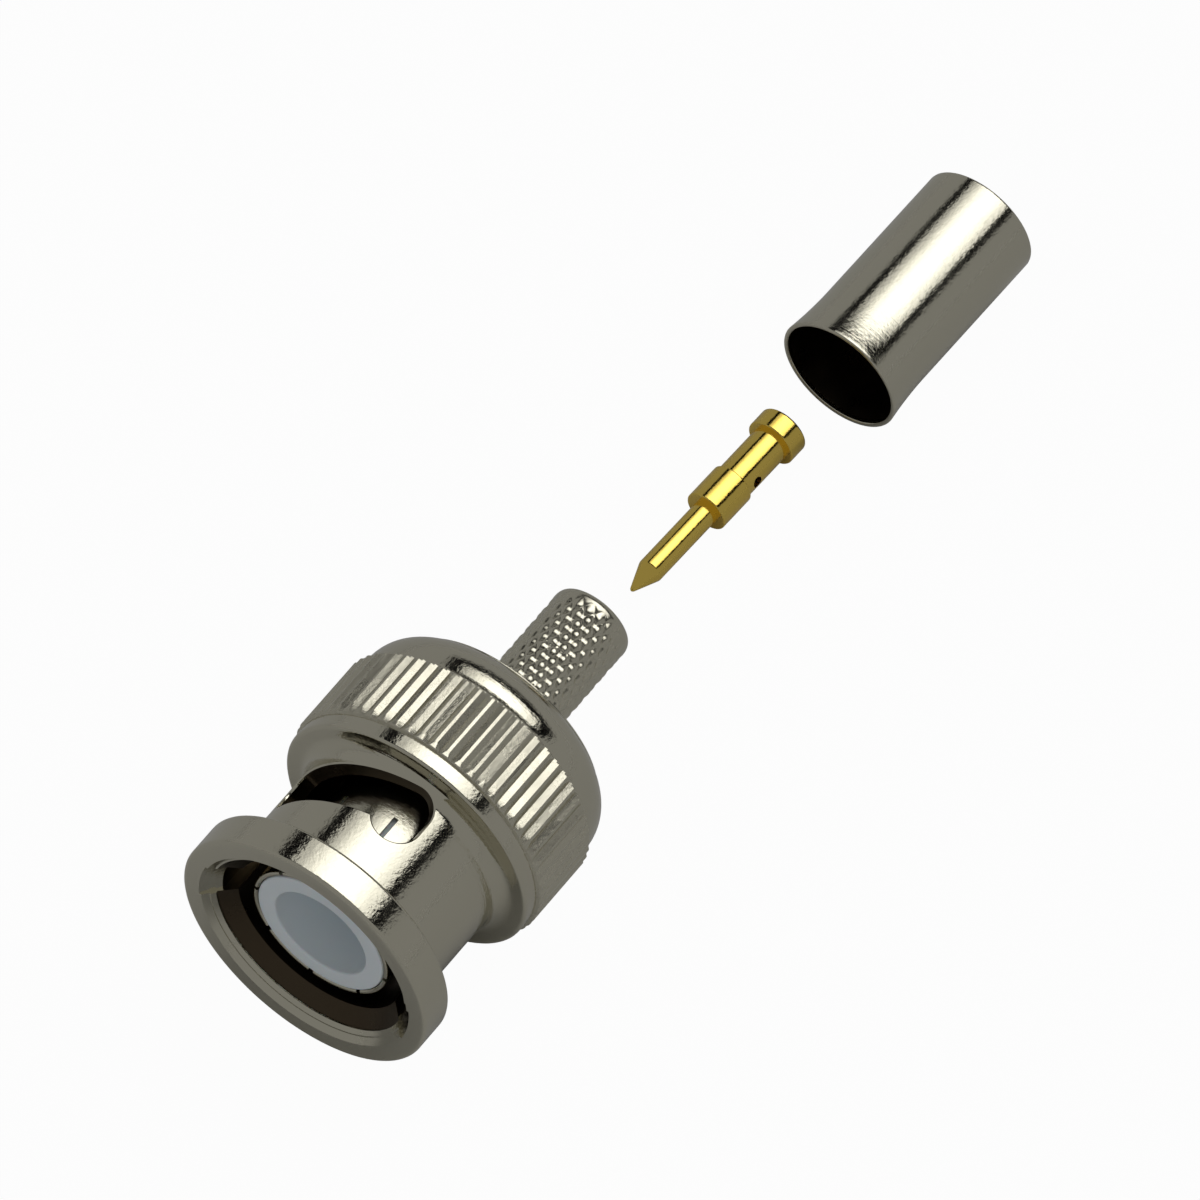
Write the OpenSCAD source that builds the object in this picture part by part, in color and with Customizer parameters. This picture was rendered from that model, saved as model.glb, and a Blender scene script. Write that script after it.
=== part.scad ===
// Crimp-on bayonet coaxial plug, laid out in its three loose pieces: the plug with its coupling
// nut, the centre contact and the crimp ferrule. Millimetres. The plug's axis runs along +X from
// the mouth of the nut to the cable end, and the three pieces lie on the plane z = 0.

/* [Mating interface] */
// Diameter over the two bayonet lugs of the jack
lug_circle_d = 11.0; // [10.8:0.05:11.1]
// Diameter of one lug
lug_d = 2.0; // [1.8:0.1:2.2]
// Outer diameter of the jack's barrel, which slides into the nut
jack_barrel_d = 9.7; // [9.6:0.05:9.8]
// Outer diameter of the slotted outer contact
contact_d = 8.1; // [8.0:0.05:8.3]
// Turn from the lug entry to the detent
lock_angle = 94; // [88:1:100]

/* [Coupling nut] */
// Diameter of the front flange
flange_d = 14.6; // [14:0.1:15.2]
// Length of the front flange
flange_len = 2.0; // [1.6:0.1:2.2]
// Metal left outside the lug grooves
neck_wall = 0.15; // [0.15:0.05:0.35]
// Length of the neck, from the flange to the collar
neck_len = 6.4; // [6.3:0.1:6.8]
// Diameter of the collar ahead of the knurl
collar_d = 14.5; // [14:0.1:14.6]
// Length of the collar
collar_len = 0.9; // [0.7:0.05:1]
// Diameter over the knurl
knurl_d = 14.9; // [14.8:0.1:15.4]
// Length of the knurl
knurl_len = 4.3; // [3.8:0.1:4.6]
// Number of knurl grooves
knurl_count = 60; // [48:2:66]
// Depth of a knurl groove
knurl_depth = 0.18; // [0.15:0.01:0.28]
// Width left at full height between two knurl grooves
knurl_land = 0.14; // [0.1:0.02:0.3]
// Turn of the first knurl groove, from +Y towards +Z
knurl_phase = 4.4; // [0:0.2:6]
// Diameter of the smooth tail behind the knurl
tail_d = 14.2; // [14:0.1:14.4]
// Length of the tail, which is rolled over into a dome
tail_len = 2.8; // [2.6:0.1:3.2]
// Metal left outside the cavity where the dome meets the rolled edge
rim_wall = 0.54; // [0.45:0.01:0.6]
// Diameter of the hole that the rolled edge leaves
lip_hole_d = 7.2; // [7.0:0.1:7.6]
// Thickness of the rolled edge
lip_len = 0.75; // [0.6:0.05:0.9]
// Diameter of the mouth at its front face
mouth_d = 12.4; // [12:0.1:12.8]
// Angle of the first lug entry round the axis, from +Y towards +Z
entry_angle = 9.5; // [0:0.5:20]
// Half the axial width of the bayonet slot
slot_r = 1.3; // [1.2:0.05:1.4]
// Place of the detent's centre behind the front face
detent_x = 6.07; // [5.9:0.01:6.2]
// How far behind the detent the slot's highest point lies
detent_drop = 0.85; // [0.7:0.05:0.95]
// How far the slot climbs along the axis between its open ends
slot_climb = 1.1; // [0.9:0.05:1.3]
// Turn between the slot's open ends
slot_angle = 70; // [66:1:74]

/* [Contacts and insulator] */
// Place of the outer contact's tip behind the nut's front face
contact_tip_x = 1.35; // [1.1:0.05:1.5]
// Wall of the outer contact
contact_wall = 0.25; // [0.2:0.05:0.3]
// Number of slits in the outer contact
slit_count = 8; // [4:1:8]
// Width of a slit
slit_w = 0.28; // [0.2:0.02:0.4]
// Length of a slit
slit_len = 5.5; // [4:0.5:6.5]
// Diameter of the insulator's front socket
socket_d = 5.4; // [5.2:0.1:5.8]
// Depth of the insulator's front socket
socket_len = 6.2; // [5.8:0.1:6.6]
// Thickness of the web that the pin passes through
web_len = 0.6; // [0.4:0.1:0.8]
// Length of the insulator
dielectric_len = 11.9; // [11.7:0.1:12]

/* [Plug body] */
// Place of the body's front shoulder, which backs the gasket
shoulder_x = 11.5; // [11.3:0.1:11.6]
// Length of the pilot that centres the nut's bore
pilot_len = 0.7; // [0.5:0.1:0.9]
// Diameter of the flange that holds the nut
body_flange_d = 11.6; // [11.4:0.05:11.9]
// Length of that flange
body_flange_len = 1.5; // [1.3:0.1:1.7]
// Diameter of the hub behind the flange
hub_d = 6.4; // [6:0.1:6.6]
// Length of the hub
hub_len = 3.5; // [3.3:0.1:3.8]
// Diameter of the crimp barrel
barrel_d = 4.45; // [4.3:0.05:4.7]
// Length of the crimp barrel
barrel_len = 7.0; // [6.4:0.1:7.6]
// Diameter of the bore that takes the cable's insulation
barrel_bore_d = 3.7; // [3.5:0.05:3.8]

/* [Seals and springs] */
// Thickness of the gasket
gasket_len = 1.0; // [0.8:0.1:1.2]
// Thickness of the thrust washer
thrust_len = 0.5; // [0.4:0.05:0.6]
// Thickness of a wave washer's strip
wave_strip = 0.25; // [0.2:0.01:0.3]
// Waves round one wave washer
wave_count = 3; // [2:1:4]

/* [Centre contact] */
// Diameter of the pin
pin_d = 1.37; // [1.32:0.01:1.4]
// Length of the pin's point
point_len = 1.48; // [1.2:0.02:1.8]
// Diameter of the flat at the tip of the point
tip_d = 0.2; // [0.1:0.05:0.3]
// Length of the parallel part of the pin
pin_len = 4.6; // [4:0.05:4.8]
// Diameter of the collar that snaps into the insulator
pin_collar_d = 2.35; // [2.2:0.05:2.5]
// Length of that collar
pin_collar_len = 2.2; // [1.9:0.05:2.3]
// Diameter of the solder pot
pot_d = 2.05; // [1.9:0.05:2.15]
// Length of the solder pot
pot_len = 3.1; // [2.8:0.05:3.3]
// Diameter of the flange at the back of the pot
pin_flange_d = 2.75; // [2.5:0.05:3]
// Length of that flange
pin_flange_len = 1.15; // [1:0.05:1.3]
// Diameter of the bore for the cable's core
core_bore_d = 1.1; // [1:0.05:1.2]
// Diameter of the inspection hole in the pot
sight_hole_d = 0.6; // [0.4:0.05:0.8]

/* [Crimp ferrule] */
// Bore of the ferrule
ferrule_bore_d = 6.0; // [5.8:0.1:6.4]
// Wall of the ferrule
ferrule_wall = 0.25; // [0.2:0.05:0.4]
// Length of the ferrule
ferrule_len = 12.0; // [11:0.1:13]
// Length of the flared mouth
flare_len = 3.2; // [2:0.1:4]
// How far the flare widens the ferrule, on the radius
flare_rise = 0.2; // [0.1:0.01:0.25]

/* [Lay-out] */
// Clear distance from the crimp barrel to the point of the pin
pin_gap = 5.95; // [5:0.05:8]
// Clear distance from the pin to the ferrule
ferrule_gap = 3.05; // [2:0.05:5]
// How far the pin's point lies to the +Y side of the plug's axis
pin_offset_y = 1.95; // [0:0.05:3]
// How far the ferrule's mouth lies to the +Y side of the plug's axis
ferrule_offset_y = 0.3; // [0:0.05:1]
// Turn of the pin about the vertical
pin_yaw = -2.2; // [-5:0.1:5]
// Turn of the ferrule about the vertical
ferrule_yaw = -1.2; // [-5:0.1:5]

/* [Hidden] */
$fn = 96;
eps = 0.01;                 // overlap that keeps two cuts from sharing a face
running_gap = 0.1;          // radial clearance of what turns or slides
seat_gap = 0.02;            // axial clearance where two pieces of different bodies rest
press_gap = 0.05;           // radial clearance round the insulator
edge_r = 0.18;              // rounding of the nut's outer edges
arc_steps = 6;              // straight runs in a drawn quarter round

// Coupling nut
mating_gap = 0.05;          // radial clearance round the jack's barrel and lugs
nut_bore_r = jack_barrel_d / 2 + mating_gap;
groove_r = lug_circle_d / 2 + mating_gap;
neck_r = groove_r + neck_wall;
collar_x = flange_len + neck_len;
knurl_x = collar_x + collar_len;
tail_x = knurl_x + knurl_len;
nut_end_x = tail_x + tail_len;
cove_r = 0.8;               // fillet from the neck to the collar
foot_r = 0.15;              // fillet from the flange to the neck
knurl_chamfer = 0.1;        // lead at each end of the knurl
entry_side = 0.22;          // side clearance of a lug in its entry groove
entry_w = lug_d / 2 + entry_side;
lead_in_len = 0.9;          // length of the widened start of an entry groove
lead_in_r = mouth_d / 2 + 0.12;
groove_lift = 0.3;          // how far the blind groove climbs before it meets the open slot
groove_runs = 3;            // straight runs in the blind groove
mouth_steps = [[0, 0], [0.3, 0.27], [0.3, 0.36], [0.5, 0.54], [0.6, 0.54]]; // [along, inwards] at the mouth
mouth_len = 1.3;            // length of the tapered mouth
over = 1;                   // how far a cut runs past the metal
slot_top_x = detent_x + detent_drop;
slot_low_x = slot_top_x - slot_climb;
slot_steps = 7;
climb_per_deg = slot_climb / slot_angle;
low_angle = entry_angle + lock_angle - slot_angle;
cut_low_r = nut_bore_r - over;
cut_len = groove_r - nut_bore_r + 2.5 * over;
knurl_r = knurl_d / 2;
groove_low_r = knurl_r - knurl_depth;
groove_half_w = (2 * PI * knurl_r / knurl_count - knurl_land) / 2;

// Plug body
pilot_r = nut_bore_r - running_gap;
body_flange_x = shoulder_x + pilot_len;
hub_x = body_flange_x + body_flange_len;
hub_end_x = hub_x + hub_len;
barrel_end_x = hub_end_x + barrel_len;
contact_seat_len = pilot_len + 0.5;
hub_chamfer = 0.3;          // chamfer at the back of the hub
barrel_foot = 0.1;          // chamfer where the barrel leaves the hub
barrel_round = 0.4;         // length of the rounding at the end of the barrel
barrel_wall_mid_r = (barrel_d + barrel_bore_d) / 4;
contact_seat_x = shoulder_x + contact_seat_len;
dielectric_end_x = contact_tip_x + dielectric_len;
contact_r = contact_d / 2;
dielectric_r = contact_r - contact_wall - press_gap;

// Nut cavity, thrust washer and wave washers
nut_shoulder_x = body_flange_x - seat_gap;
cavity_r = body_flange_d / 2 + running_gap;
lip_x = nut_end_x - lip_len;
dome_share = sqrt(1 - pow((lip_x - tail_x) / tail_len, 2)); // height of the dome's ellipse at the rolled edge
dome_flat_r = (cavity_r + rim_wall - tail_d / 2 * dome_share) / (1 - dome_share);
thrust_x = lip_x - seat_gap - thrust_len;
wave_height = (thrust_x - hub_x - 3 * seat_gap) / 2;
wave_inner_r = hub_d / 2 + 0.2;
wave_outer_r = cavity_r - 0.25;
wave_facets = 48;

// Centre contact, measured from its point
pin_collar_x = point_len + pin_len;
pot_x = pin_collar_x + pin_collar_len;
pin_flange_x = pot_x + pot_len;
pin_total = pin_flange_x + pin_flange_len;
core_bore_len = pot_len + pin_flange_len;

// Crimp ferrule
ferrule_r = ferrule_bore_d / 2 + ferrule_wall;
flare_r = ferrule_r + flare_rise;
flare_runs = 5;             // straight runs along the flare
rim_chamfer = 0.08;         // broken edges of the tube's ends

// Lay-out on the floor
plug_axis_z = knurl_r;
pin_axis_z = pin_flange_d / 2;
pin_place_x = barrel_end_x + pin_gap;
ferrule_place_x = pin_place_x + pin_total * cos(pin_yaw) + ferrule_gap;
layout_end_x = ferrule_place_x + ferrule_len * cos(ferrule_yaw) + flare_r * abs(sin(ferrule_yaw));
shift_x = -layout_end_x / 2;

// Points of a quarter ellipse about [cx, cr], from angle a to angle b, as [x, radius]
function arc(cx, cr, rx, rr, a, b) =
    [for (i = [0:arc_steps]) let (t = a + (b - a) * i / arc_steps) [cx + rx * cos(t), cr + rr * sin(t)]];

// A solid of revolution about +X, from an outline of [x, radius] points
module turned(outline) {
    rotate([0, 90, 0])
        rotate_extrude()
            polygon([for (p = outline) [p[1], p[0]]]);
}

// A plain round rod or ring along +X
module ring(x, length, outer_r, inner_r) {
    translate([x, 0, 0])
        rotate([0, 90, 0])
            difference() {
                cylinder(r = outer_r, h = length);
                translate([0, 0, -1])
                    cylinder(r = inner_r, h = length + 2);
            }
}

// Everything on the plug's axis is drawn from the nut's front face and set down here
module on_plug_axis() {
    translate([shift_x, 0, plug_axis_z])
        children();
}

// A round radial cutter through the neck, at an angle round the axis
module radial_pin(x, angle, radius) {
    rotate([angle, 0, 0])
        translate([x, cut_low_r, 0])
            rotate([-90, 0, 0])
                cylinder(r = radius, h = cut_len, $fn = 48);
}

// One straight run of the slot, as wide as its share of the turn
module slot_run(x, angle, turn, climb) {
    flat_half = neck_r * tan(turn / 2);
    half_w = flat_half + eps;
    rise = climb / 2 * half_w / flat_half;
    rotate([angle, 0, 0])
        translate([x, cut_low_r, 0])
            rotate([-90, 0, 0])
                linear_extrude(cut_len)
                    polygon([[-slot_r - rise, half_w], [slot_r - rise, half_w],
                             [slot_r + rise, -half_w], [-slot_r + rise, -half_w]]);
}

// The open slot with its detent, which climbs away from the mouth as it turns
module bayonet_window() {
    step = slot_angle / slot_steps;
    radial_pin(slot_low_x, low_angle, slot_r);
    radial_pin(slot_top_x, low_angle + slot_angle, slot_r);
    radial_pin(detent_x, low_angle + slot_angle, slot_r);
    for (i = [0:slot_steps - 1])
        slot_run(slot_low_x + climb_per_deg * step * (i + 0.5), low_angle + step * (i + 0.5), step,
                 climb_per_deg * step);
    rotate([low_angle + slot_angle, 0, 0])
        translate([detent_x, cut_low_r, -slot_r])
            cube([detent_drop, cut_len, 2 * slot_r]);
}

// The blind groove that takes a lug from the mouth to the start of the slot
module lug_groove() {
    turn = (low_angle - entry_angle) / groove_runs;
    climb = groove_lift / groove_runs;
    start_x = slot_low_x - groove_lift;
    intersection() {
        ring(-over, slot_top_x + 3 * over, groove_r, nut_bore_r - over / 2);
        union() {
            rotate([entry_angle, 0, 0])
                translate([-over, 0, -entry_w])
                    cube([start_x + slot_r + over, groove_r + over, 2 * entry_w]);
            radial_pin(start_x, entry_angle, slot_r);
            for (i = [0:groove_runs - 1])
                slot_run(start_x + climb * (i + 0.5), entry_angle + turn * (i + 0.5), turn, climb);
        }
    }
    // Lead-in at the face
    intersection() {
        turned([[-eps, 0], [-eps, lead_in_r], [lead_in_len, groove_r], [lead_in_len, 0]]);
        rotate([entry_angle, 0, 0])
            translate([-over, 0, -entry_w])
                cube([lead_in_len + 2 * over, lead_in_r + over, 2 * entry_w]);
    }
}

// Outside of the nut: flange, neck, cove, collar, knurl band and domed tail
module nut_outside() {
    flange_r = flange_d / 2;
    collar_r = collar_d / 2;
    tail_r = tail_d / 2;
    turned(concat(
        [[0, 0]],
        arc(edge_r, flange_r - edge_r, edge_r, edge_r, 180, 90),
        arc(flange_len - edge_r, flange_r - edge_r, edge_r, edge_r, 90, 0),
        [[flange_len, neck_r + foot_r], [flange_len + foot_r, neck_r]],
        arc(collar_x - cove_r, neck_r + cove_r, cove_r, cove_r, 270, 360),
        arc(collar_x + edge_r, collar_r - edge_r, edge_r, edge_r, 180, 90),
        [[knurl_x, collar_r], [knurl_x, knurl_r - knurl_chamfer], [knurl_x + knurl_chamfer, knurl_r]],
        [[tail_x - knurl_chamfer, knurl_r], [tail_x, knurl_r - knurl_chamfer], [tail_x, tail_r]],
        arc(tail_x, dome_flat_r, tail_len, tail_r - dome_flat_r, 90, 0),
        [[nut_end_x, 0]]));
}

// Inside of the nut: mouth, bore, cavity for the body's flange and the springs, rear hole
module nut_inside() {
    mouth_r = mouth_d / 2;
    turned(concat(
        [[-over, 0], [-over, mouth_r]],
        [for (step = mouth_steps) [step[0], mouth_r - step[1]]],
        [[mouth_len, nut_bore_r], [nut_shoulder_x, nut_bore_r], [nut_shoulder_x, cavity_r],
         [lip_x, cavity_r], [lip_x, lip_hole_d / 2], [nut_end_x + over, lip_hole_d / 2],
         [nut_end_x + over, 0]]));
}

// Straight V grooves round the knurl band
module knurl_grooves() {
    for (i = [0:knurl_count - 1])
        rotate([knurl_phase + i * 360 / knurl_count, 0, 0])
            translate([knurl_x - knurl_chamfer, groove_low_r, 0])
                rotate([0, 90, 0])
                    linear_extrude(knurl_len + 2 * knurl_chamfer)
                        polygon([[0, 0], [-groove_half_w, knurl_depth], [-groove_half_w, knurl_depth + over],
                                 [groove_half_w, knurl_depth + over], [groove_half_w, knurl_depth]]);
}

module coupling_nut() {
    color([0.72, 0.70, 0.66])
        on_plug_axis()
            difference() {
                nut_outside();
                nut_inside();
                for (half = [0, 180])
                    rotate([half, 0, 0]) {
                        bayonet_window();
                        lug_groove();
                    }
                knurl_grooves();
            }
}

// Turned body: pilot, flange that carries the nut, hub and crimp barrel
module plug_body() {
    color([0.70, 0.69, 0.66])
        on_plug_axis()
            turned(concat(
                [[shoulder_x, contact_r], [shoulder_x, pilot_r], [body_flange_x, pilot_r],
                 [body_flange_x, body_flange_d / 2], [hub_x, body_flange_d / 2],
                 [hub_x, hub_d / 2], [hub_end_x - hub_chamfer, hub_d / 2],
                 [hub_end_x, hub_d / 2 - hub_chamfer],
                 [hub_end_x, barrel_d / 2 + barrel_foot], [hub_end_x + barrel_foot, barrel_d / 2]],
                arc(barrel_end_x - barrel_round, barrel_wall_mid_r, barrel_round, barrel_d / 2 - barrel_wall_mid_r, 90, 0),
                [[barrel_end_x, barrel_bore_d / 2], [dielectric_end_x + press_gap, barrel_bore_d / 2],
                 [dielectric_end_x + press_gap, dielectric_r + press_gap],
                 [contact_seat_x, dielectric_r + press_gap], [contact_seat_x, contact_r]]));
}

// Springy sleeve, slit lengthways, that meets the inside of the jack's barrel
module outer_contact() {
    inner_r = contact_r - contact_wall;
    color([0.76, 0.73, 0.68])
        on_plug_axis()
            difference() {
                turned([[contact_tip_x, inner_r + 0.06], [contact_tip_x, contact_r - 0.1],
                        [contact_tip_x + 0.12, contact_r], [contact_seat_x, contact_r],
                        [contact_seat_x, inner_r], [contact_tip_x + 0.06, inner_r]]);
                for (i = [0:slit_count - 1])
                    rotate([entry_angle + i * 360 / slit_count, 0, 0])
                        translate([contact_tip_x - 1, inner_r - 1, -slit_w / 2])
                            cube([slit_len + 1, contact_wall + 2, slit_w]);
            }
}

// Insulator: open socket in front, a thin web round the pin, and a bore for the pin's collar
module dielectric() {
    web_x = contact_tip_x + socket_len;
    color([0.93, 0.95, 0.97])
        on_plug_axis()
            turned([[contact_tip_x, socket_d / 2 + 0.12], [contact_tip_x, dielectric_r - 0.08],
                    [contact_tip_x + 0.08, dielectric_r], [dielectric_end_x, dielectric_r],
                    [dielectric_end_x, pin_collar_d / 2 + press_gap],
                    [web_x + web_len, pin_collar_d / 2 + press_gap],
                    [web_x + web_len, pin_d / 2 + press_gap],
                    [web_x, pin_d / 2 + press_gap], [web_x, socket_d / 2],
                    [contact_tip_x + 0.12, socket_d / 2]]);
}

module gasket() {
    color([0.45, 0.2, 0.16])
        on_plug_axis()
            ring(shoulder_x - gasket_len, gasket_len, nut_bore_r - 0.15, contact_r);
}

// A ring of thin strip that rises and falls round the axis, from x to x + wave_height
module wave_washer(x, phase) {
    swing = (wave_height - wave_strip) / 2;
    function rise(i) = x + swing + swing * sin(wave_count * (i * 360 / wave_facets + phase));
    corners = [for (i = [0:wave_facets - 1], side = [0, wave_strip], r = [wave_inner_r, wave_outer_r])
        let (a = i * 360 / wave_facets) [rise(i) + side, r * cos(a), r * sin(a)]];
    function next(i) = (i + 1) % wave_facets;
    polyhedron(corners, [for (i = [0:wave_facets - 1], face = [0:7])
        let (a = 4 * i, b = 4 * next(i))
        [[a, b, b + 1], [a, b + 1, a + 1], [a + 2, a + 3, b + 3], [a + 2, b + 3, b + 2],
         [a, a + 2, b + 2], [a, b + 2, b], [a + 1, b + 1, b + 3], [a + 1, b + 3, a + 3]][face]]);
}

module wave_washer_front() {
    color([0.62, 0.62, 0.64])
        on_plug_axis()
            wave_washer(hub_x + seat_gap, 0);
}

module wave_washer_rear() {
    color([0.62, 0.62, 0.64])
        on_plug_axis()
            wave_washer(hub_x + 2 * seat_gap + wave_height, 180 / wave_count);
}

module thrust_washer() {
    color([0.70, 0.68, 0.62])
        on_plug_axis()
            ring(thrust_x, thrust_len, cavity_r - running_gap, hub_d / 2 + running_gap);
}

// Gilt pin with its snap collar, solder pot and rear flange, lying on the floor
module centre_contact() {
    color([0.85, 0.70, 0.25])
        translate([shift_x + pin_place_x, pin_offset_y, pin_axis_z])
            rotate([0, 0, pin_yaw])
                difference() {
                    turned([[0, 0], [0, tip_d / 2], [point_len, pin_d / 2], [pin_collar_x, pin_d / 2],
                            [pin_collar_x, pin_collar_d / 2], [pot_x, pin_collar_d / 2],
                            [pot_x, pot_d / 2], [pin_flange_x, pot_d / 2],
                            [pin_flange_x, pin_flange_d / 2], [pin_total, pin_flange_d / 2],
                            [pin_total, core_bore_d / 2],
                            [pin_total - core_bore_len, core_bore_d / 2], [pin_total - core_bore_len, 0]]);
                    translate([pot_x + 0.75, 0, 0])
                        rotate([82, 0, 0])
                            cylinder(d = sight_hole_d, h = pot_d, $fn = 32);
                }
}

// Thin tube with a slightly flared mouth, lying on the floor
module crimp_ferrule() {
    bore_r = ferrule_bore_d / 2;
    color([0.72, 0.71, 0.67])
        translate([shift_x + ferrule_place_x, ferrule_offset_y, flare_r])
            rotate([0, 0, ferrule_yaw])
                turned(concat(
                    [for (i = [0:flare_runs]) let (t = i / flare_runs)
                        [rim_chamfer + (flare_len - rim_chamfer) * t, ferrule_r + flare_rise * pow(1 - t, 2)]],
                    [[ferrule_len - rim_chamfer, ferrule_r], [ferrule_len, ferrule_r - rim_chamfer],
                     [ferrule_len, bore_r]],
                    [for (i = [flare_runs:-1:0]) let (t = i / flare_runs)
                        [rim_chamfer + (flare_len - rim_chamfer) * t, bore_r + flare_rise * pow(1 - t, 2)]],
                    [[0, bore_r + flare_rise + rim_chamfer], [0, flare_r - rim_chamfer]]));
}

coupling_nut();
plug_body();
outer_contact();
dielectric();
gasket();
wave_washer_front();
wave_washer_rear();
thrust_washer();
centre_contact();
crimp_ferrule();
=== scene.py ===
import math

import bmesh
import bpy
from bpy.props import FloatProperty, IntProperty, PointerProperty, StringProperty
from mathutils import Matrix, Vector


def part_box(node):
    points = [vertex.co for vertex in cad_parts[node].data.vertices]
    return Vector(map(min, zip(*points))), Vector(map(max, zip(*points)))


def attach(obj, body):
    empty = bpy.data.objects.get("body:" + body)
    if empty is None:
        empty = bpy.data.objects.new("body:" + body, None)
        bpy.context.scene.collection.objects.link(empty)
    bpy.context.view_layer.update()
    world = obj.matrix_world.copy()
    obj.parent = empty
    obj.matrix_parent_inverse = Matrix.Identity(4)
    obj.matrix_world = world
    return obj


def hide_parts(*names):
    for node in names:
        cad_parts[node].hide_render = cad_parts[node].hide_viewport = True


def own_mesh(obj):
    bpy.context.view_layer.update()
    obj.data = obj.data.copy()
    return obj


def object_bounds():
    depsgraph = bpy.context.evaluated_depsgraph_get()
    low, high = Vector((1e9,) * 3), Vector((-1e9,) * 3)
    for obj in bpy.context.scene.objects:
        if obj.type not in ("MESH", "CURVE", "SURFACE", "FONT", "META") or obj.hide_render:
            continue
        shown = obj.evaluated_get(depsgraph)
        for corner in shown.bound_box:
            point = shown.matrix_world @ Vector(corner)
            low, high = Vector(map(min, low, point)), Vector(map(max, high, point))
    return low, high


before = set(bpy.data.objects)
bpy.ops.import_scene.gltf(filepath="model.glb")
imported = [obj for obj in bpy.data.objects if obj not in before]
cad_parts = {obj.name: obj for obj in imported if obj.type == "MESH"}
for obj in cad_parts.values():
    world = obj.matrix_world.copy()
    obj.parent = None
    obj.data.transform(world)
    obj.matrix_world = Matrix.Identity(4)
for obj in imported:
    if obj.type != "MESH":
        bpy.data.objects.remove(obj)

bl_info = {
    "name": "Bayonet Plug Looks",
    "version": (1, 0, 0),
    "blender": (4, 5, 0),
    "location": "View3D > Sidebar > Bayonet Plug",
    "description": "Surfaces, studio and camera for a crimp-on bayonet coaxial plug in its loose pieces",
    "category": "Object",
}

MM = 0.001
CAD_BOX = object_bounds()
NUT_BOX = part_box("coupling_nut")
FRONT_X = NUT_BOX[0][0]                                  # front face of the nut
AXIS_Z = (NUT_BOX[0][2] + NUT_BOX[1][2]) / 2             # height of the plug's axis
PLUG_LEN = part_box("plug_body")[1][0] - FRONT_X           # end of the crimp barrel
PLUG = Matrix.Translation((FRONT_X, 0.0, AXIS_Z))        # the plug's own axis, from the nut's front face
KNURL_R = (NUT_BOX[1][2] - NUT_BOX[0][2]) / 2            # radius over the nut's knurl
FIT = 0.05 * MM                                          # radial room between pieces that fit together


# ---------------------------------------------------------------- sizes and colours

def length(name, millimetres, description):
    """A length that a user may change, given in millimetres and kept in metres."""
    return FloatProperty(name=name, description=description, default=millimetres * MM, min=0.0,
                         precision=5, unit="LENGTH")


def turn(name, degrees, description):
    """An angle that a user may change, given in degrees."""
    return FloatProperty(name=name, description=description, default=math.radians(degrees), subtype="ANGLE")


def colour(name, value, description):
    """A colour that a user may change, as a hex sRGB value."""
    return StringProperty(name=name, description=description, default=value)


class NutSizes(bpy.types.PropertyGroup):
    flange_d: length("Flange diameter", 14.6, "Diameter of the front flange")
    flange_len: length("Flange length", 2.0, "Length of the front flange")
    neck_d: length("Neck diameter", 11.4, "Diameter of the neck that holds the slots")
    collar_x: length("Collar place", 8.4, "Distance from the front face to the collar")
    collar_d: length("Collar diameter", 14.5, "Diameter of the collar ahead of the knurl")
    knurl_x: length("Knurl place", 9.3, "Distance from the front face to the knurl")
    knurl_len: length("Knurl length", 4.3, "Length of the knurl")
    knurl_depth: length("Knurl depth", 0.18, "Depth of a knurl groove")
    knurl_count: IntProperty(name="Knurl grooves", description="Number of grooves round the nut", default=60)
    knurl_phase: turn("Knurl turn", 4.4, "Turn of the first groove about the axis")
    tail_d: length("Tail diameter", 14.2, "Diameter of the smooth tail behind the knurl")
    crest: length("Crest place", 0.5, "Distance from the knurl to the crest of the tail")
    crest_drop: length("Crest drop", 0.12, "How far the tail falls from its crest back to the knurl")
    bead: length("Rolled bead", 0.08, "Radius of the bead that the rolling leaves on the dome")
    dome_flat_d: length("Dome flat", 9.1, "Diameter of the flat at the back of the dome")
    lip_hole_d: length("Rear hole", 7.2, "Hole that the rolled edge leaves")
    lip_x: length("Rolled edge place", 15.65, "Distance from the front face to the rolled edge")
    mouth_d: length("Mouth diameter", 12.4, "Diameter of the mouth at its front face")
    ledge_x: length("Ledge place", 0.3, "Depth of the first ledge in the mouth")
    throat_x: length("Throat place", 0.5, "Depth at which the mouth's throat starts")
    taper_end: length("Taper end", 1.3, "Depth at which the mouth has narrowed to the bore")
    bore_d: length("Bore diameter", 9.8, "Bore that takes the barrel of the jack")
    shoulder_x: length("Inner shoulder place", 12.18, "Where the bore widens to the rear cavity")
    cavity_d: length("Cavity diameter", 11.8, "Rear cavity for the springs")
    edge: length("Edge rounding", 0.18, "Rounding of the outer edges")
    cove: length("Cove radius", 0.8, "Fillet from the neck to the collar")
    foot: length("Foot radius", 0.15, "Fillet from the flange to the neck")
    knurl_edge: length("Knurl edge", 0.1, "Broken edge at the back of the knurl")
    run_out: length("Groove run-out", 0.7, "Length over which a knurl groove deepens behind the collar")


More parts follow.
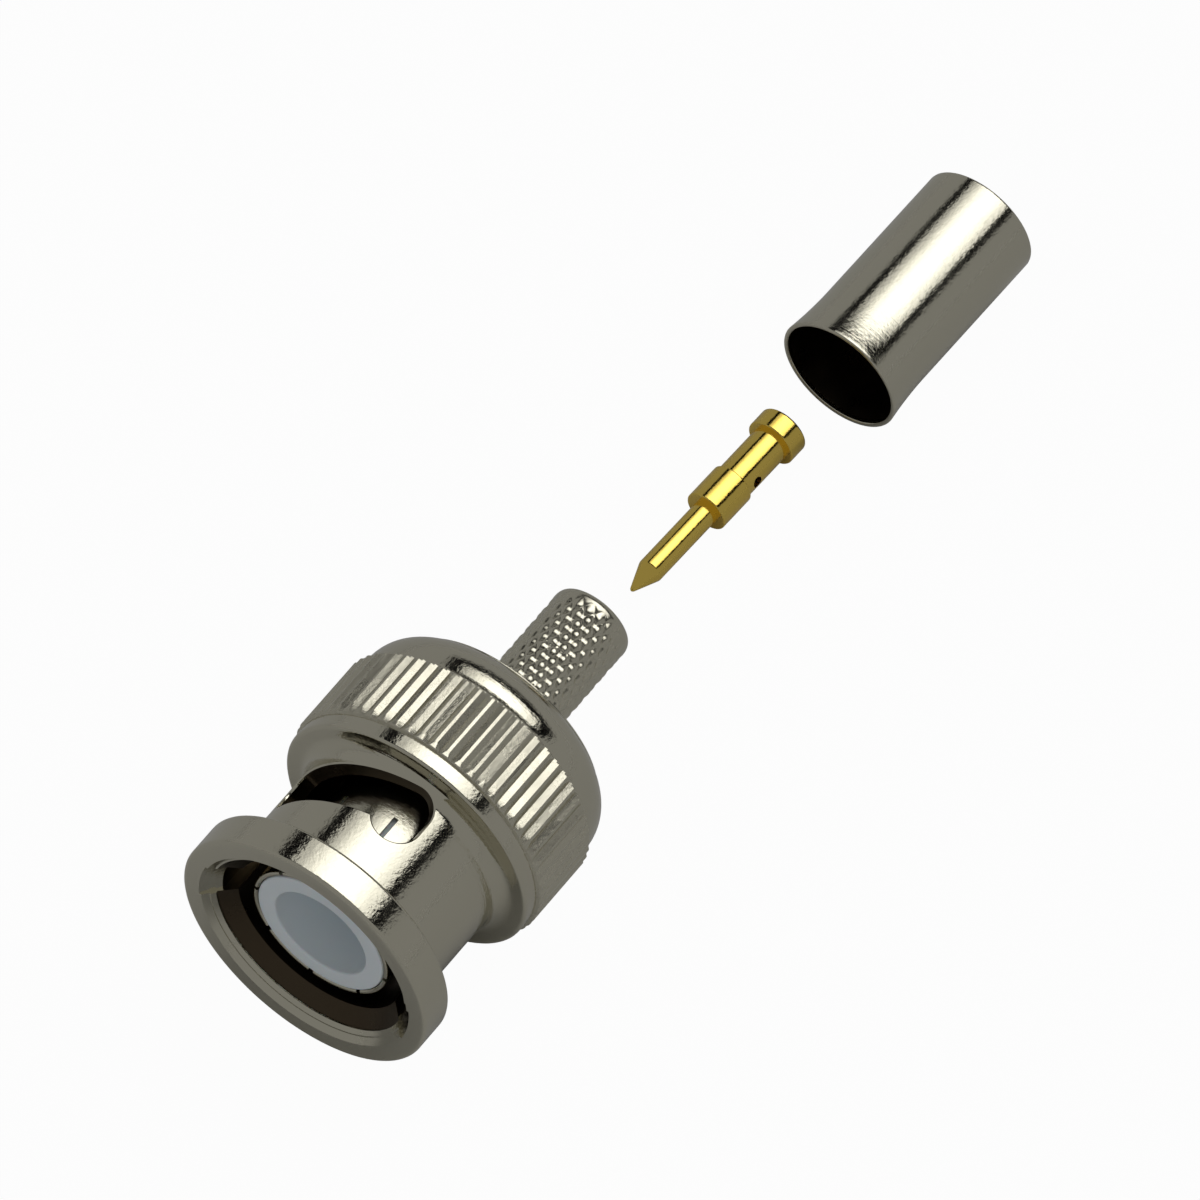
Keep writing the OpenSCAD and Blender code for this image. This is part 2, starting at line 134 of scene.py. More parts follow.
class SlotSizes(bpy.types.PropertyGroup):
    half_width: length("Half width", 1.3, "Half the axial width of a bayonet slot")
    detent_x: length("Detent place", 6.07, "Centre of the detent behind the front face")
    top_x: length("Slot top", 6.92, "Highest point of the slot's middle line")
    low_x: length("Slot foot", 5.82, "Lowest point of the slot's middle line")
    chamfer: length("Broken edge", 0.07, "Width of the broken outer edge of the slot")
    entry_half: length("Entry half width", 1.22, "Half the width of the groove by which a lug enters")
    groove_d: length("Lug groove diameter", 11.1, "Diameter over the two blind lug grooves")
    lead_d: length("Lead-in diameter", 12.64, "Diameter of a lug groove's widened start")
    lead_len: length("Lead-in length", 0.9, "Length of that widened start")
    lift: length("Groove lift", 0.3, "How far the blind groove climbs before the open slot")
    entry: turn("Lug entry angle", 9.5, "Place of the first lug entry round the axis")
    lock: turn("Lock angle", 94, "Turn from the lug entry to the detent")
    open: turn("Open angle", 70, "Turn over which the slot is open")


class BodySizes(bpy.types.PropertyGroup):
    shoulder_x: length("Shoulder place", 11.5, "Front shoulder, which backs the gasket")
    pilot_d: length("Pilot diameter", 9.6, "Pilot that centres the nut's bore")
    flange_x: length("Flange place", 12.2, "Front of the flange that holds the nut")
    flange_d: length("Flange diameter", 11.6, "Diameter of that flange")
    hub_x: length("Hub place", 13.7, "Back of the flange")
    hub_d: length("Hub diameter", 6.4, "Diameter of the hub")
    barrel_x: length("Barrel place", 17.2, "Where the crimp barrel starts")
    barrel_d: length("Barrel diameter", 4.45, "Diameter of the crimp barrel")
    bore_d: length("Barrel bore", 3.7, "Bore for the cable's insulation")
    end_round: length("End rounding", 0.4, "Length of the rounding at the end of the barrel")
    foot: length("Barrel foot", 0.15, "Fillet from the hub to the barrel")
    knurl_cells: IntProperty(name="Diamonds round", description="Diamonds round the crimp barrel", default=20)
    knurl_pitch: length("Diamond length", 1.0, "Length of one diamond along the barrel")
    knurl_depth: length("Diamond depth", 0.09, "Depth of the diamond knurl")
    knurl_fade: length("Diamond fade", 0.6, "Length over which the diamonds fade out at the end")
    score_back: length("Scored line place", 3.2, "Distance of the scored line from the end of the knurl")
    score_depth: length("Scored line depth", 0.09, "Depth of the scored line")
    score_half: length("Scored line half width", 0.1, "Half the width of the scored line")
    score_from: turn("Scored line start", 79, "Where the scored line starts about the axis")
    score_to: turn("Scored line end", 151, "Where the scored line ends about the axis")
    contact_d: length("Contact diameter", 8.1, "Diameter of the springy outer contact")
    contact_wall: length("Contact wall", 0.25, "Wall of the outer contact")
    contact_x: length("Contact tip place", 1.35, "Tip of the outer contact")
    contact_end: length("Contact end", 12.7, "Where the outer contact ends in the body")
    slit_count: IntProperty(name="Slits", description="Slits in the outer contact", default=8)
    slit_w: length("Slit width", 0.28, "Width of a slit")
    slit_len: length("Slit length", 5.5, "Length of a slit")
    insulator_d: length("Insulator diameter", 7.5, "Diameter of the insulator")
    insulator_end: length("Insulator end", 13.25, "Where the insulator ends")
    socket_d: length("Socket diameter", 5.4, "Front socket of the insulator")
    socket_len: length("Socket depth", 6.2, "Depth of the front socket")
    web: length("Web", 0.6, "Thickness of the web that carries the pin")


class PinSizes(bpy.types.PropertyGroup):
    yaw: turn("Pin turn", -2.2, "Turn of the pin about the vertical")
    tip_d: length("Tip diameter", 0.2, "Diameter at the tip of the point")
    shank_x: length("Shank place", 1.48, "End of the point")
    shank_d: length("Shank diameter", 1.37, "Diameter of the pin")
    collar_x: length("Collar place", 6.08, "Front of the snap collar")
    collar_d: length("Collar diameter", 2.35, "Diameter of the snap collar")
    pot_x: length("Pot place", 8.28, "Front of the solder pot")
    pot_d: length("Pot diameter", 2.05, "Diameter of the solder pot")
    flange_x: length("Flange place", 11.38, "Front of the rear flange")
    flange_d: length("Flange diameter", 2.75, "Diameter of the rear flange")
    end_x: length("Length", 12.53, "Whole length of the pin")
    bore_d: length("Core bore", 1.1, "Bore for the cable's core")
    bore_len: length("Core bore depth", 4.25, "Depth of that bore")
    sight_d: length("Sight hole", 0.6, "Inspection hole in the pot")
    sight_x: length("Sight hole place", 9.03, "Place of the inspection hole from the point")
    sight_turn: turn("Sight hole turn", 82, "Direction of the inspection hole about the axis")


class FerruleSizes(bpy.types.PropertyGroup):
    yaw: turn("Ferrule turn", -1.2, "Turn of the ferrule about the vertical")
    bore_d: length("Bore diameter", 6.0, "Bore of the crimp ferrule")
    wall: length("Wall", 0.25, "Wall of the tube")
    end_x: length("Length", 12.0, "Length of the tube")
    flare_len: length("Flare length", 3.2, "Length of the flared mouth")
    flare_rise: length("Flare rise", 0.2, "How far the mouth is widened, on the radius")


class Finishes(bpy.types.PropertyGroup):
    nickel: colour("Nickel", "CECAB8", "Bright nickel plate")
    # Painted shade: a darker, browner plate colour stands in for the shade inside the nut's bore and the
    # ferrule's tube
    bore_shade: colour("Bore", "4E4436", "Darker plate that paints the shade inside the nut")
    gilding: colour("Gold", "F4D468", "Gold plate of the centre contact")
    insulator: colour("Insulator", "E2EAEE", "White fluoropolymer insulator")
    rubber: colour("Rubber", "6B2F26", "Silicone rubber gasket")
    spring: colour("Spring steel", "A5A6A8", "Wave washers")


class StudioSettings(bpy.types.PropertyGroup):
    azimuth: turn("Camera azimuth", -54.37, "Camera direction about the vertical")
    elevation: turn("Camera elevation", 55.25, "Camera height above the horizon")
    distance: FloatProperty(name="Camera distance", description="Distance from the camera to its aim",
                            default=0.778, unit="LENGTH")
    lens: FloatProperty(name="Lens", description="Focal length in millimetres", default=480.0)
    room: FloatProperty(name="Room tone", description="Brightness of the room that the metal mirrors",
                        default=0.28)
    fill: FloatProperty(name="Fill", description="Power of the front fill, which the metal doesn't mirror",
                        default=1.5)
    lamp: FloatProperty(name="Lamp level", description="Brightness of the overhead lamp's face", default=2.2)


GROUPS = {"plug_nut": NutSizes, "plug_slot": SlotSizes, "plug_body": BodySizes, "plug_pin": PinSizes,
          "plug_ferrule": FerruleSizes, "plug_finish": Finishes, "plug_studio": StudioSettings}


# ---------------------------------------------------------------- meshes

def arc(centre_x, centre_r, radius_x, radius_r, start, end, steps=6):
    """Points of a quarter ellipse, as (along, radius), from start to end in degrees."""
    turns = [math.radians(start + (end - start) * i / steps) for i in range(steps + 1)]
    return [(centre_x + radius_x * math.cos(t), centre_r + radius_r * math.sin(t)) for t in turns]


def outer_edge(x, r, size, steps=4, rear=False):
    """A rounded outer corner at (x, r): a front one rises to r, a rear one falls from it.

    One more point on either side keeps the surfaces beside it straight to the eye."""
    beside = 1.6 * size
    if rear:
        return [(x - beside, r)] + arc(x - size, r - size, size, size, 90, 0, steps) + [(x, r - beside)]
    return [(x, r - beside)] + arc(x + size, r - size, size, size, 180, 90, steps) + [(x + beside, r)]


def lathe(outline, steps, relief=None):
    """A solid of revolution about +X from (along, radius) points, a ring unless it starts on the axis.

    relief(along, radius, turn) says how far a point is pressed in towards the axis."""
    mesh = bmesh.new()
    rings = []
    for i in range(steps):
        about = 2 * math.pi * i / steps
        ring = []
        for along, radius in outline:
            inward = relief(along, radius, about) if relief else 0.0
            ring.append(mesh.verts.new((along, (radius - inward) * math.cos(about),
                                        (radius - inward) * math.sin(about))))
        rings.append(ring)
    last = len(outline) if outline[0][1] > 0.0 else len(outline) - 1
    for i, ring in enumerate(rings):
        near = rings[(i + 1) % steps]
        for j in range(last):
            k = (j + 1) % len(outline)
            corners = (ring[j], near[j], near[k], ring[k])
            out = [corner.co.yz.length for corner in corners] if relief else (0, 0, 0, 0)
            folds = abs(out[0] - out[2]) - abs(out[1] - out[3])
            if abs(folds) < 1e-6:
                mesh.faces.new(corners)
                continue
            first = 0 if folds < 0 else 1          # a relief folds along its level diagonal
            mesh.faces.new((corners * 2)[first:first + 3])
            mesh.faces.new((corners * 2)[first + 2:first + 5])
    bmesh.ops.remove_doubles(mesh, verts=mesh.verts, dist=1e-7)
    bmesh.ops.recalc_face_normals(mesh, faces=mesh.faces)
    return mesh


def loft(levels):
    """A solid plate through outlines of (x, y) points, given as (height, outline) from the lowest up."""
    mesh = bmesh.new()
    rings = [[mesh.verts.new((x, y, high)) for x, y in outline] for high, outline in levels]
    mesh.faces.new(rings[0])
    mesh.faces.new(rings[-1])
    for low, high in zip(rings, rings[1:]):
        for i in range(len(low)):
            j = (i + 1) % len(low)
            mesh.faces.new((low[i], low[j], high[j], high[i]))
    bmesh.ops.recalc_face_normals(mesh, faces=mesh.faces)
    return mesh


def slice_mesh(mesh, normal, places):
    """Cuts new edges into a mesh at planes square to a normal, so that it can be bent there."""
    for place in places:
        bmesh.ops.bisect_plane(mesh, geom=mesh.verts[:] + mesh.edges[:] + mesh.faces[:],
                               plane_co=Vector(normal) * place, plane_no=normal, dist=1e-8)


def wrap(mesh, radius):
    """Bends a flat plate round the axis: y becomes the turn at that radius, z the distance from the axis."""
    low = min(vert.co.y for vert in mesh.verts)
    high = max(vert.co.y for vert in mesh.verts)
    step = math.radians(1.5) * radius
    slice_mesh(mesh, (0, 1, 0), [low + step * (i + 0.5) for i in range(int((high - low) / step))])
    for vert in mesh.verts:
        along, about, out = vert.co.x, vert.co.y / radius, vert.co.z
        vert.co = (along, out * math.cos(about), out * math.sin(about))
    bmesh.ops.recalc_face_normals(mesh, faces=mesh.faces)
    if mesh.calc_volume(signed=True) < 0:
        bmesh.ops.reverse_faces(mesh, faces=mesh.faces)


def piece(name, mesh, place=Matrix.Identity(4), smooth_angle=30):
    """Turns a bmesh into an object whose place is in its mesh."""
    mesh.transform(place)
    data = bpy.data.meshes.new(name)
    mesh.to_mesh(data)
    mesh.free()
    data.shade_smooth()
    data.set_sharp_from_angle(angle=math.radians(smooth_angle))
    made = bpy.data.objects.new(name, data)
    bpy.context.scene.collection.objects.link(made)
    return made


def carve(target, cutter, smooth_angle=30):
    """Cuts one object out of another and removes the cutter."""
    cut = target.modifiers.new("cut", "BOOLEAN")
    cut.operation = "DIFFERENCE"
    cut.solver = "EXACT"
    cut.object = cutter
    bpy.context.view_layer.update()
    result = bpy.data.meshes.new_from_object(target.evaluated_get(bpy.context.evaluated_depsgraph_get()))
    target.modifiers.remove(cut)
    target.data = result
    result.shade_smooth()
    result.set_sharp_from_angle(angle=math.radians(smooth_angle))
    bpy.data.objects.remove(cutter)


def settle(made, body, material, replaced):
    """Gives a finished piece its material and its body, and hides the CAD part that it replaces."""
    made.data.materials.clear()
    made.data.materials.append(material)
    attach(made, body)
    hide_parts(replaced)


def lying(node, yaw, length, start_r, end_r):
    """Place of a round piece that lies on the floor, turned a little to -Y about its start at low X."""
    low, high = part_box(node)
    along = low[0] + start_r * abs(math.sin(yaw))
    radius = (high[2] - low[2]) / 2
    middle = low[1] + length * abs(math.sin(yaw)) + end_r * math.cos(yaw)
    return Matrix.Translation((along, middle, radius)) @ Matrix.Rotation(yaw, 4, "Z")


# ---------------------------------------------------------------- materials

def linear(value):
    """A hex sRGB colour as linear red, green, blue and alpha."""
    channels = [int(value[i:i + 2], 16) / 255 for i in (0, 2, 4)]
    return tuple(c / 12.92 if c <= 0.04045 else ((c + 0.055) / 1.055) ** 2.4 for c in channels) + (1.0,)


def add(material, kind, inputs=None, links=None, **settings):
    """Adds one node with its settings, its fixed inputs and its links."""
    tree = material.node_tree
    node = tree.nodes.new("ShaderNode" + kind)
    for key, value in settings.items():
        setattr(node, key, value)
    for key, value in (inputs or {}).items():
        node.inputs[key].default_value = value
    for key, (source, socket) in (links or {}).items():
        tree.links.new(source.outputs[socket], node.inputs[key])
    return node


def blank(name):
    """A material with no nodes but its output."""
    material = bpy.data.materials.new(name)
    material.use_nodes = True
    material.node_tree.nodes.clear()
    return material, add(material, "OutputMaterial")


def local(material, place):
    """Coordinates about a piece's own axis."""
    coordinates = add(material, "TexCoord")
    return add(material, "Mapping", vector_type="TEXTURE",
               inputs={"Location": place.to_translation(), "Rotation": place.to_euler()},
               links={"Vector": (coordinates, "Object")})


PEEL = 0.24 * MM       # size of the orange-peel grain
TOOL = 0.05 * MM       # spacing of the rings that the tool leaves
STAIN = 1.6 * MM       # size of the stains


def plated_metal(name, place, tint, roughness, grain):
    """Bright plate over turned brass: fine tool rings, a faint orange-peel grain and small stains."""
    material, output = blank(name)
    own = local(material, place)
    peel = add(material, "TexNoise", inputs={"Scale": 1 / PEEL, "Detail": 3.0, "Roughness": 0.6},
               links={"Vector": (own, "Vector")})
    rings = add(material, "Mapping", inputs={"Scale": (1 / TOOL, 60.0, 60.0)},
                links={"Vector": (own, "Vector")})
    tool = add(material, "TexNoise", inputs={"Scale": 1.0, "Detail": 2.0},
               links={"Vector": (rings, "Vector")})
    relief = add(material, "Mix", data_type="FLOAT", inputs={0: 0.25},
                 links={2: (peel, "Fac"), 3: (tool, "Fac")})
    bump = add(material, "Bump", inputs={"Strength": 1.0, "Distance": grain},
               links={"Height": (relief, 0)})
    cloud = add(material, "TexNoise", inputs={"Scale": 1 / STAIN, "Detail": 4.0},
                links={"Vector": (own, "Vector")})
    rough = add(material, "MapRange", links={"Value": (cloud, "Fac")},
                inputs={"From Min": 0.3, "From Max": 0.7,
                        "To Min": roughness * 0.85, "To Max": roughness * 1.25})
    surface = add(material, "BsdfPrincipled", inputs={"Base Color": linear(tint), "Metallic": 1.0},
                  links={"Roughness": (rough, "Result"), "Normal": (bump, "Normal")})
    material.node_tree.links.new(surface.outputs["BSDF"], output.inputs["Surface"])
    return material


def white_plastic(name, place, tint):
    """Matt turned or moulded plastic with a faint grain."""
    material, output = blank(name)
    own = local(material, place)
    grain = add(material, "TexNoise", inputs={"Scale": 1 / (0.15 * MM), "Detail": 3.0},
                links={"Vector": (own, "Vector")})
    bump = add(material, "Bump", inputs={"Strength": 1.0, "Distance": 0.003 * MM},
               links={"Height": (grain, "Fac")})
    surface = add(material, "BsdfPrincipled",
                  inputs={"Base Color": linear(tint), "Roughness": 0.45, "Subsurface Weight": 0.15,
                          "Subsurface Scale": 0.4 * MM},
                  links={"Normal": (bump, "Normal")})
    material.node_tree.links.new(surface.outputs["BSDF"], output.inputs["Surface"])
    return material


# ---------------------------------------------------------------- pieces

DOME_POWER = 0.87      # under 1, the dome's shoulder is squarer than an ellipse
BEAD_AT = 20           # point of the dome's outline that carries the rolled bead


def dome_outline(nut, crest_x, end_x):
    """The domed tail, from a soft crest behind the knurl to the flat at the back."""
    tail_r, flat_r = nut.tail_d / 2, nut.dome_flat_d / 2
    rise = [(crest_x - nut.crest * i / 8, tail_r - nut.crest_drop * (i / 8) ** 3) for i in range(8, 0, -1)]
    dome = []
    for i in range(30):
        t = math.radians(3 * i)
        dome.append((crest_x + (end_x - crest_x) * math.sin(t) ** DOME_POWER,
                     flat_r + (tail_r - flat_r) * math.cos(t) ** DOME_POWER))
    dome.append((end_x, flat_r))
    bead = arc(*dome[BEAD_AT], nut.bead, nut.bead, 120, -20)
    return rise + dome[:BEAD_AT] + bead + dome[BEAD_AT + 2:]


def mouth_outline(nut):
    """The inside of the mouth, from the bore forwards: taper, throat, ledge and front edge."""
    mouth_r, broken = nut.mouth_d / 2, 0.04 * MM
    throat_r, ledge_r = mouth_r - 0.54 * MM, mouth_r - 0.27 * MM
    return [(nut.taper_end, nut.bore_d / 2),
            (nut.throat_x + 0.12 * MM, throat_r + 0.02 * MM), (nut.throat_x + 0.08 * MM, throat_r),
            (nut.throat_x, throat_r), (nut.ledge_x, throat_r + 0.18 * MM), (nut.ledge_x, ledge_r),
            (broken, mouth_r - broken), (0.0, mouth_r)]


def nut_outline(nut):
    """Outline of the coupling nut, outside first, then back through the inside."""
    flange_r, neck_r, collar_r = nut.flange_d / 2, nut.neck_d / 2, nut.collar_d / 2
    hole_r, cavity_r, bore_r = nut.lip_hole_d / 2, nut.cavity_d / 2, nut.bore_d / 2
    edge, foot = nut.edge, nut.foot
    end_x, tail_x, broken = NUT_BOX[1][0] - NUT_BOX[0][0], nut.knurl_x + nut.knurl_len, nut.knurl_edge
    run_out = [(nut.knurl_x + (0.14 + 0.07 * i) * MM, KNURL_R) for i in range(9)]
    band = [(nut.knurl_x + (1.2 + 0.9 * i) * MM, KNURL_R) for i in range(4)]
    outside = (
        outer_edge(0.0, flange_r, edge, 5)
        + outer_edge(nut.flange_len, flange_r, edge, 5, rear=True)
        + arc(nut.flange_len + foot, neck_r + foot, foot, foot, 180, 270, 3)
        + [(nut.flange_len + 2 * foot, neck_r), (nut.collar_x - nut.cove - 0.1 * MM, neck_r)]
        + arc(nut.collar_x - nut.cove, neck_r + nut.cove, nut.cove, nut.cove, 270, 360, 12)
        + outer_edge(nut.collar_x, collar_r, edge, 5)
        + [(nut.knurl_x, collar_r), (nut.knurl_x + 0.07 * MM, KNURL_R - 0.05 * MM)]
        + run_out + band
        + [(tail_x - broken, KNURL_R), (tail_x, KNURL_R - broken)]
        + dome_outline(nut, tail_x + nut.crest, end_x))
    inside = [
        (end_x, hole_r + broken), (end_x - broken, hole_r), (nut.lip_x, hole_r), (nut.lip_x, cavity_r),
        (nut.shoulder_x, cavity_r), (nut.shoulder_x, bore_r)]
    return outside + inside + mouth_outline(nut)


def nut_knurl(nut):
    """Relief of the nut's straight grooves: hollow flanks, narrow lands and rounded run-outs in front."""
    pitch = 2 * math.pi / nut.knurl_count
    half_groove = 0.4 * pitch              # the rest of the pitch is the land between two grooves
    start, end = nut.knurl_x, nut.knurl_x + nut.knurl_len

    def relief(along, radius, about):
        if not start < along <= end + 1e-7 or radius < KNURL_R - nut.knurl_depth:
            return 0.0
        across = abs((about + pitch / 2) % pitch - pitch / 2) / half_groove
        entry = min(1.0, (along - start) / nut.run_out)
        deep = nut.knurl_depth * math.sqrt(1 - (1 - entry) ** 2)
        pressed = deep - nut.knurl_depth * across ** 1.08       # a little hollow, not quite a straight flank
        return max(0.0, pressed - (KNURL_R - radius))
    return relief


def slot_outline(nut, slot, half):
    """Outline of the open slot with its detent, drawn flat at the neck's radius."""
    radius = nut.neck_d / 2
    first, last = (slot.entry + slot.lock - slot.open) * radius, (slot.entry + slot.lock) * radius
    lean = math.atan2(slot.top_x - slot.low_x, last - first)
    drop = (slot.top_x - slot.detent_x) * math.cos(lean)
    meet = math.acos((half - drop) / half)
    flat = math.degrees(lean)
    return (arc(slot.low_x, first, half, half, 180 - flat, 360 - flat, 20)
            + arc(slot.top_x, last, half, half, -flat, 90, 14)
            + arc(slot.detent_x, last, half, half, 90, 180 - flat + math.degrees(meet), 20))


def slot_cutter(nut, slot):
    """The open slot, with a broken outer edge, wrapped round the neck."""
    neck_r, flare = nut.neck_d / 2, 0.6 * MM
    edge_r = neck_r - slot.chamfer
    straight = slot_outline(nut, slot, slot.half_width)
    mesh = loft([(nut.bore_d / 2 - 0.5 * MM, straight), (edge_r, straight),
                 (edge_r + flare, slot_outline(nut, slot, slot.half_width + flare))])
    wrap(mesh, neck_r)
    return mesh


def groove_cutter(nut, slot):
    """The blind groove that takes a lug from its widened start at the face to the open slot."""
    groove_r, half = slot.groove_d / 2, slot.entry_half
    middle, first = slot.entry * groove_r, (slot.entry + slot.lock - slot.open) * groove_r
    start_x = slot.low_x - slot.lift
    lean = math.atan2(slot.lift, first - middle)
    corner = half * (1 - math.sin(lean)) / math.cos(lean)
    outline = ([(-MM, middle - half)]
               + arc(start_x, middle, half, half, 270, 360 - math.degrees(lean), 14)
               + arc(slot.low_x, first, half, half, -math.degrees(lean), 180 - math.degrees(lean), 20)
               + [(start_x - half * math.cos(lean) + corner * math.sin(lean), middle + half),
                  (-MM, middle + half)])
    mesh = loft([(nut.bore_d / 2 - 0.5 * MM, outline), (groove_r, outline)])
    slice_mesh(mesh, (1, 0, 0), [slot.lead_len])
    steep = (slot.lead_d - slot.groove_d) / 2 / slot.lead_len
    for vert in mesh.verts:
        if vert.co.z > groove_r - 1e-7 and vert.co.x < slot.lead_len:
            vert.co.z += steep * (slot.lead_len - vert.co.x)
    wrap(mesh, groove_r)
    return mesh


class PLUG_OT_coupling_nut(bpy.types.Operator):
    """Turns the coupling nut, rolls its knurl and cuts its bayonet slots and lug grooves"""
    bl_idname = "bayonet_plug.coupling_nut"
    bl_label = "Coupling nut"

    def execute(self, context):
        nut, slot = context.scene.plug_nut, context.scene.plug_slot
        mesh = lathe(nut_outline(nut), 10 * nut.knurl_count, nut_knurl(nut))
        made = piece("nut_shell", mesh, Matrix.Rotation(nut.knurl_phase, 4, "X"), 20)
        for cutter in (slot_cutter, groove_cutter):
            for half in (0.0, math.pi):
                carve(made, piece("cutter", cutter(nut, slot), Matrix.Rotation(half, 4, "X")), 20)
        finish = context.scene.plug_finish
        settle(made, "nut",
               plated_metal("Nickel plate, turned and tumbled", PLUG, finish.nickel, 0.1, 0.016 * MM),
               "coupling_nut")
        made.data.materials.append(
            plated_metal("Nickel plate over rolled grooves", PLUG, finish.nickel, 0.26, 0.02 * MM))
        # Third material: a darker plate colour on the bore's faces, as painted shade
        made.data.materials.append(
            plated_metal("Nickel plate darkened as painted shade inside the bore", PLUG, finish.bore_shade, 0.3, 0.006 * MM))
        knurl_end, groove_r = nut.knurl_x + nut.knurl_len, slot.groove_d / 2 - 0.03 * MM
        bore_start, bore_end = nut.throat_x + 0.1 * MM, nut.lip_x - 0.1 * MM
        for face in made.data.polygons:
            along, radius = face.center.x, face.center.yz.length
            if nut.knurl_x < along < knurl_end and radius > nut.tail_d / 2:
                face.material_index = 1        # the knurl
            elif bore_start < along < bore_end and radius < groove_r:
                face.material_index = 2        # the bore, darkened as painted shade, but not the floors of the lug grooves
        made.data.transform(PLUG)
        return {"FINISHED"}


def to_line(value):
    """How far a value lies from the nearest whole number, from 0 there to 1 half way between two."""
    return 1 - 2 * abs(value % 1 - 0.5)


def barrel_knurl(body):
    """Relief of the diamond knurl that grips the cable's braid, with one short scored line."""
    radius = body.barrel_d / 2
    start, end = body.barrel_x + body.foot, PLUG_LEN - body.end_round

    def relief(along, at_radius, about):
        if at_radius < radius - 1e-7 or not start < along < end:
            return 0.0
        u, v = about * body.knurl_cells / (2 * math.pi), (along - start) / body.knurl_pitch
        hill = (1 - (1 - to_line(u + v)) ** 2) * (1 - (1 - to_line(u - v)) ** 2)
        fade = max(0.0, min(1.0, (end - along) / body.knurl_fade, (along - start) / (0.2 * MM)))
        pressed = body.knurl_depth * fade * (1 - hill)
        if body.score_from < about < body.score_to:
            off = abs(along - (end - body.score_back)) / body.score_half
            pressed = max(pressed, body.score_depth * (1 - off))
        return pressed
    return relief


def body_outline(body):
    """Outline of the plug body: pilot, flange, hub and crimp barrel, then back through the bore."""
    hub_r, barrel_r, bore_r = body.hub_d / 2, body.barrel_d / 2, body.bore_d / 2
    flange_r, seat_r, wall_r = body.flange_d / 2, body.insulator_d / 2 + FIT, (barrel_r + bore_r) / 2
    end, foot = PLUG_LEN, body.foot
    start = body.barrel_x + foot
    rows = int((end - body.end_round - start) / (body.knurl_pitch / 14))
    barrel = [(start + (end - body.end_round - start) * i / rows, barrel_r) for i in range(rows)]
    seat_x = body.insulator_end + FIT
    return (outer_edge(body.shoulder_x, body.pilot_d / 2, 0.05 * MM, 2)
            + [(body.flange_x, body.pilot_d / 2)]
            + outer_edge(body.flange_x, flange_r, 0.1 * MM, 2)
            + outer_edge(body.hub_x, flange_r, 0.1 * MM, 2, rear=True)
            + [(body.hub_x, hub_r)]
            + outer_edge(body.barrel_x, hub_r, 0.3 * MM, 5, rear=True)
            + arc(start, barrel_r + foot, foot, foot, 180, 270, 3)
            + barrel
            + arc(end - body.end_round, wall_r, body.end_round, barrel_r - wall_r, 90, 0, 8)
            + arc(end - 0.15 * MM, wall_r, 0.15 * MM, wall_r - bore_r, 0, -90, 4)
            + [(seat_x, bore_r), (seat_x, seat_r), (body.contact_end, seat_r),
               (body.contact_end, body.contact_d / 2), (body.shoulder_x, body.contact_d / 2)])


class PLUG_OT_plug_body(bpy.types.Operator):
    """Turns the plug body and knurls its crimp barrel"""
    bl_idname = "bayonet_plug.plug_body"
    bl_label = "Plug body"

    def execute(self, context):
        body = context.scene.plug_body
        made = piece("body_shell", lathe(body_outline(body), 14 * body.knurl_cells, barrel_knurl(body)), PLUG)
        plate = plated_metal("Nickel plate over a turned and knurled body", PLUG,
                             context.scene.plug_finish.nickel, 0.2, 0.008 * MM)
        settle(made, "plug", plate, "plug_body")
        return {"FINISHED"}


class PLUG_OT_outer_contact(bpy.types.Operator):
    """Turns the springy outer contact and saws its slits"""
    bl_idname = "bayonet_plug.outer_contact"
    bl_label = "Outer contact"

    def execute(self, context):
        body, slot = context.scene.plug_body, context.scene.plug_slot
        outer_r = body.contact_d / 2
        inner_r, tip = outer_r - body.contact_wall, body.contact_x
        outline = (outer_edge(tip, outer_r, 0.1 * MM, 4)
                   + [(body.contact_end, outer_r), (body.contact_end, inner_r),
                      (tip + 0.06 * MM, inner_r), (tip, inner_r + 0.06 * MM)])
        made = piece("outer_contact_shell", lathe(outline, 192))
        half, slit_end = body.slit_w / 2, tip + body.slit_len
        slit = [(tip - MM, -half), (slit_end, -half), (slit_end, half), (tip - MM, half)]
        for i in range(body.slit_count):
            saw = loft([(inner_r - 0.5 * MM, slit), (outer_r + 0.5 * MM, slit)])
            if saw.calc_volume(signed=True) < 0:
                bmesh.ops.reverse_faces(saw, faces=saw.faces)
            about = slot.entry + 2 * math.pi * i / body.slit_count - math.pi / 2
            carve(made, piece("saw", saw, Matrix.Rotation(about, 4, "X")))
        made.data.transform(PLUG)
        plate = plated_metal("Nickel plate on a spring contact", PLUG, context.scene.plug_finish.nickel,
                             0.16, 0.014 * MM)
        settle(made, "plug", plate, "outer_contact")
        return {"FINISHED"}


class PLUG_OT_insulator(bpy.types.Operator):
    """Turns the white insulator with its socket and web"""
    bl_idname = "bayonet_plug.insulator"
    bl_label = "Insulator"

    def execute(self, context):
        body, pin = context.scene.plug_body, context.scene.plug_pin
        outer_r, socket_r, tip, rim = body.insulator_d / 2, body.socket_d / 2, body.contact_x, 0.12 * MM
        web, web_end = tip + body.socket_len, tip + body.socket_len + body.web
        hole_r, pin_r = pin.collar_d / 2 + FIT, pin.shank_d / 2 + FIT
        outline = (outer_edge(tip, outer_r, 0.08 * MM, 3)
                   + [(body.insulator_end, outer_r), (body.insulator_end, hole_r), (web_end, hole_r),
                      (web_end, pin_r), (web, pin_r), (web, socket_r)]
                   + arc(tip + rim, socket_r + rim, rim, rim, 270, 180, 3))
        made = piece("insulator_shell", lathe(outline, 128), PLUG)
        white = white_plastic("White fluoropolymer, turned", PLUG, context.scene.plug_finish.insulator)
        settle(made, "plug", white, "dielectric")
        return {"FINISHED"}


